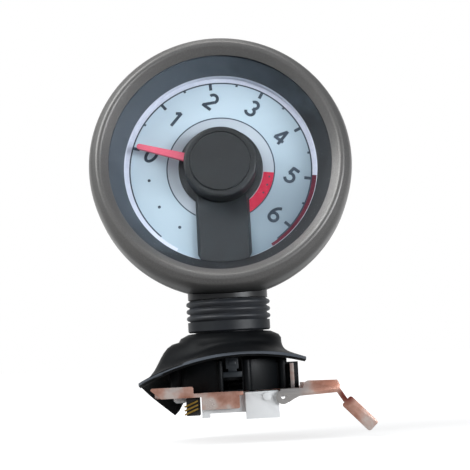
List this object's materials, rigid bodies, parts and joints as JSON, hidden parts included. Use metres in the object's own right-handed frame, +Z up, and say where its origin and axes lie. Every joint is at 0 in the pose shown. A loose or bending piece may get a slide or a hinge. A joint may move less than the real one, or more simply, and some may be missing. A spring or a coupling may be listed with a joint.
{
  "type": "car tachometer",
  "caption": "Dashboard rev counter: a round pod with a lit dial and needle, tilting on a ribbed neck that swivels in a flared foot above a screw bracket and plug socket.",
  "frame": {"origin": "on the neck's swivel axis, in the upper face of the bracket's plate, midway between the two mounting holes", "axes": "+Z up along the neck, -Y towards the driver (the dial's side), +X to the driver's right as they look at the dial"},
  "size_m": [0.0869, 0.0553, 0.1292],
  "materials": {
    "pod_paint": "satin paint on moulded plastic",
    "clear": "gloss",
    "slate_mask": "satin",
    "dial_face": "printed film",
    "trim_black": "fine grain",
    "needle_red": "painted",
    "guide_clear": "clear moulding",
    "white_plastic": "moulded",
    "board_green": "solder mask",
    "lamp": "clear resin",
    "dark_plastic": "moulded",
    "steel": "zinc plated",
    "copper": "enamelled wire",
    "black_plastic": "satin",
    "rubber": "moulded",
    "wire": "taped loom",
    "plated_steel": "passivated zinc plate",
    "gold": "gold flash"
  },
  "bodies": {
    "base": {"foot_cover": "black_plastic", "base_housing": "black_plastic", "wave_washer": "steel", "detent_clip": "dark_plastic", "mounting_bracket": "plated_steel", "bracket_screws": "white_plastic", "socket_housing": "white_plastic", "pin_header": "dark_plastic", "terminals": "gold", "base_loom": "wire"},
    "neck": {"neck_tube": "black_plastic", "ribbed_sleeve": "rubber", "swivel_ring": "steel", "tilt_pins": "steel", "friction_washers": "steel", "neck_loom": "wire"},
    "pod": {"bezel_ring": "pod_paint", "rear_shell": "pod_paint", "lens": "clear", "mask_ring": "slate_mask", "dial_plate": "dial_face", "hub_trim": "trim_black", "light_guide": "guide_clear", "reflector_ring": "white_plastic", "circuit_board": "board_green", "lamps": "lamp", "driver_chip": "dark_plastic", "motor_case": "dark_plastic", "motor_cover": "white_plastic", "stator_core": "steel", "coils": "copper", "gear_pin": "steel", "board_screws": "steel", "board_plug": "white_plastic", "pod_loom": "wire"},
    "pointer": {"needle": "needle_red", "needle_cap": "trim_black", "output_gear": "white_plastic"},
    "middle_gear": {"middle_gear": "white_plastic"},
    "rotor": {"rotor": "steel"}
  },
  "joints": [
    {"name": "neck_swivel", "type": "hinge", "parent": "base", "child": "neck", "pos_m": [0, 0, 0.019], "axis": [0, 0, 1], "range_deg": [-35, 35]},
    {"name": "pod_tilt", "type": "hinge", "parent": "neck", "child": "pod", "pos_m": [0, 0, 0.0259], "axis": [1, 0, 0], "range_deg": [-7, 7], "deforming": ["ribbed_sleeve"]},
    {"name": "needle_sweep", "type": "hinge", "parent": "pod", "child": "pointer", "pos_m": [0, -0.0004, 0.07206], "axis": [0, 0.9863, -0.165], "range_deg": [0, 208]},
    {"name": "middle_gear_turn", "type": "hinge", "parent": "pod", "child": "middle_gear", "pos_m": [0.00228, -0.00179, 0.06373], "axis": [0, 0.9863, -0.165], "range_deg": [-1249, 0]},
    {"name": "rotor_turn", "type": "hinge", "parent": "pod", "child": "rotor", "pos_m": [0, -0.00271, 0.05825], "axis": [0, 0.9863, -0.165], "range_deg": [0, 4993]}
  ],
  "couplings": [
    {"joint": "middle_gear_turn", "follows": "needle_sweep", "ratio": -6},
    {"joint": "rotor_turn", "follows": "needle_sweep", "ratio": 24}
  ]
}
